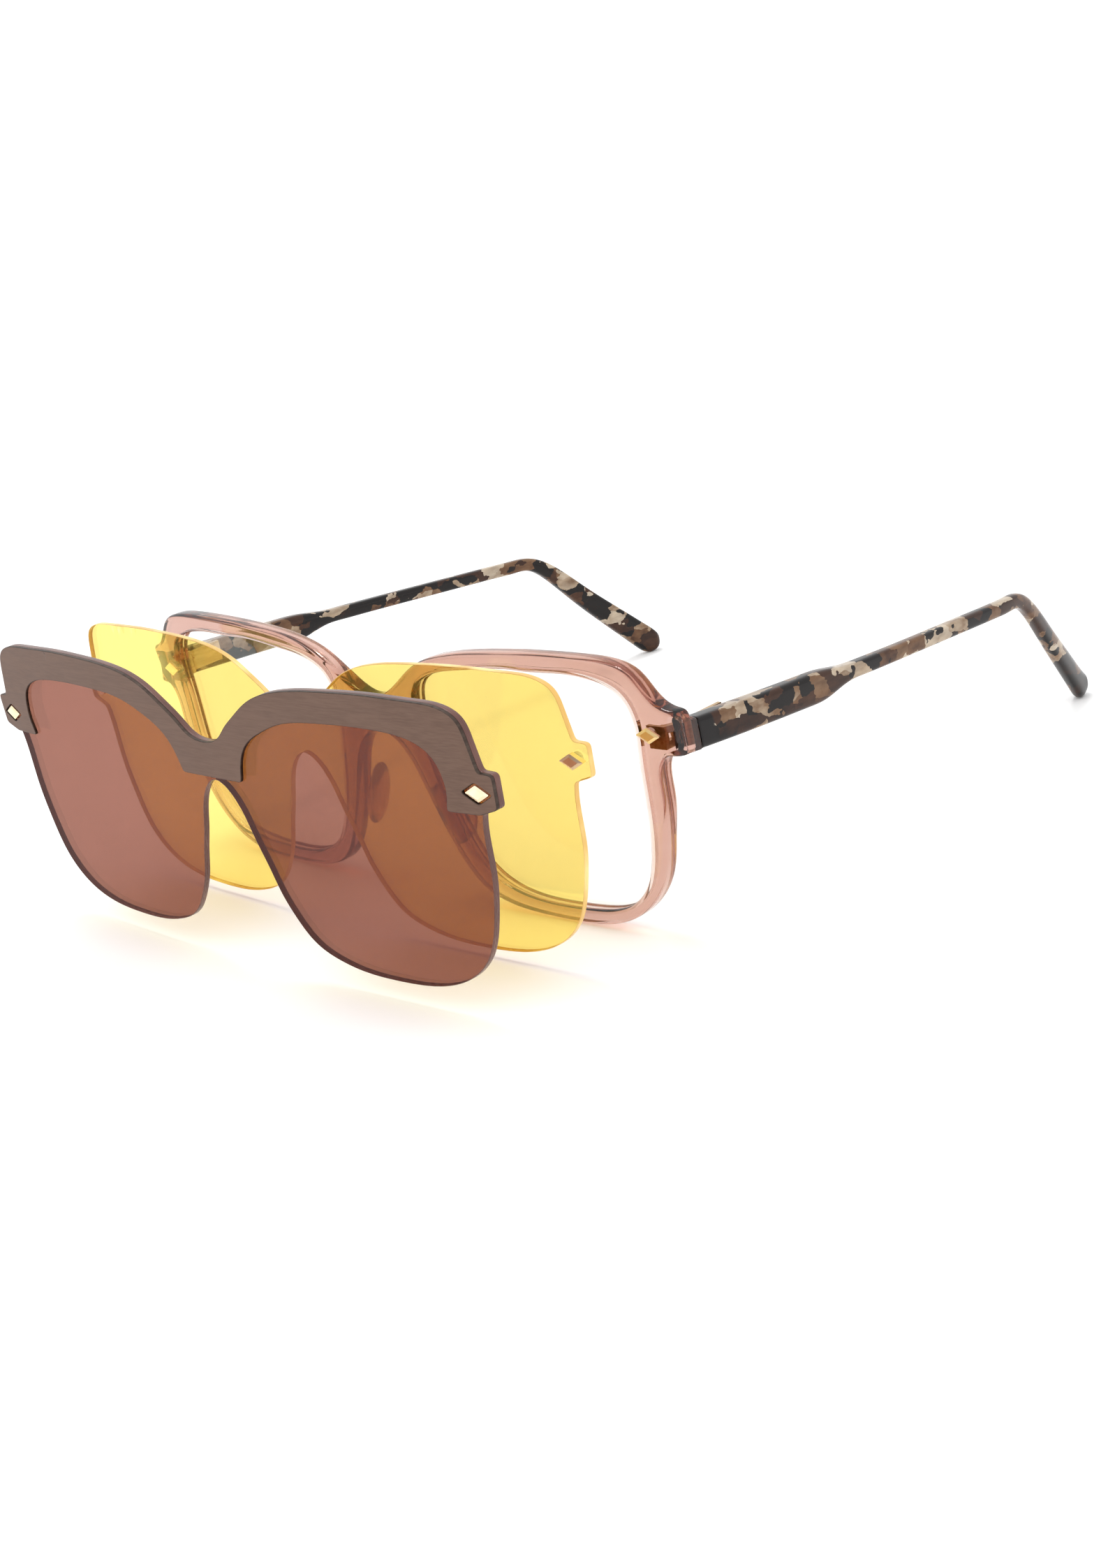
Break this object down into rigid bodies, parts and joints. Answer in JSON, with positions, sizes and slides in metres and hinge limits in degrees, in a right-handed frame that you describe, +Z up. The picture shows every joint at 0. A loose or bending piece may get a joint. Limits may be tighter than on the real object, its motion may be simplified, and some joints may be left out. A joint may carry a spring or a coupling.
{
  "type": "spectacles with magnetic clip-on lenses",
  "caption": "Spectacles with hinged temples and magnetic clip-on fronts, one tinted sheet and one mirrored sun lens with a brow bar, drawn pulled apart.",
  "frame": {"origin": "middle of the set's bounding box at the height of the surface it stands on", "axes": "+Z up, fronts face -Y, temples run to +Y, +X is the wearer's left"},
  "size_m": [0.148, 0.1548, 0.0533],
  "materials": {
    "rose_acetate": "polished translucent acetate",
    "rose_pad": "polished translucent acetate",
    "clear_lens": "clear, coated",
    "tortoise_acetate": "polished mottled acetate",
    "yellow_lens": "clear yellow sheet",
    "sun_lens": "mirrored brown sheet",
    "brushed_taupe": "brushed, lacquered",
    "gold": "polished pale gold plate",
    "hinge_metal": "satin gold plate",
    "core_metal": "plain",
    "magnet": "nickel plated"
  },
  "bodies": {
    "frame": {"front_frame": "rose_acetate", "demo_lens_left": "clear_lens", "demo_lens_right": "clear_lens", "nose_pad_left": "rose_pad", "nose_pad_right": "rose_pad", "frame_stud_left": "gold", "frame_stud_right": "gold", "frame_magnet_left": "magnet", "frame_magnet_right": "magnet", "front_hinge_leaf_left": "hinge_metal", "front_hinge_leaf_right": "hinge_metal", "hinge_screw_left": "hinge_metal", "hinge_screw_right": "hinge_metal"},
    "temple_left": {"temple_left": "tortoise_acetate", "temple_hinge_leaf_left": "hinge_metal", "temple_core_left": "core_metal"},
    "temple_right": {"temple_right": "tortoise_acetate", "temple_hinge_leaf_right": "hinge_metal", "temple_core_right": "core_metal"},
    "yellow_clip": {"yellow_lens": "yellow_lens", "yellow_stud_left": "gold", "yellow_stud_right": "gold", "yellow_magnet_left": "magnet", "yellow_magnet_right": "magnet"},
    "sun_clip": {"sun_lens": "sun_lens", "brow_bar": "brushed_taupe", "sun_stud_left": "gold", "sun_stud_right": "gold", "sun_magnet_left": "magnet", "sun_magnet_right": "magnet"}
  },
  "joints": [
    {"name": "temple_left_fold", "type": "hinge", "parent": "frame", "child": "temple_left", "pos_m": [0.0688, -0.03456, 0.0346], "axis": [0, 0, 1], "range_deg": [0, 83]},
    {"name": "temple_right_fold", "type": "hinge", "parent": "frame", "child": "temple_right", "pos_m": [-0.0688, -0.03456, 0.0346], "axis": [0, 0, -1], "range_deg": [0, 76]},
    {"name": "yellow_clip_on", "type": "slide", "parent": "frame", "child": "yellow_clip", "axis": [0, 0.992, -0.126], "range_m": [0, 0.01411]},
    {"name": "sun_clip_on", "type": "slide", "parent": "yellow_clip", "child": "sun_clip", "axis": [0, 0.992, -0.126], "range_m": [0, 0.01613]}
  ]
}
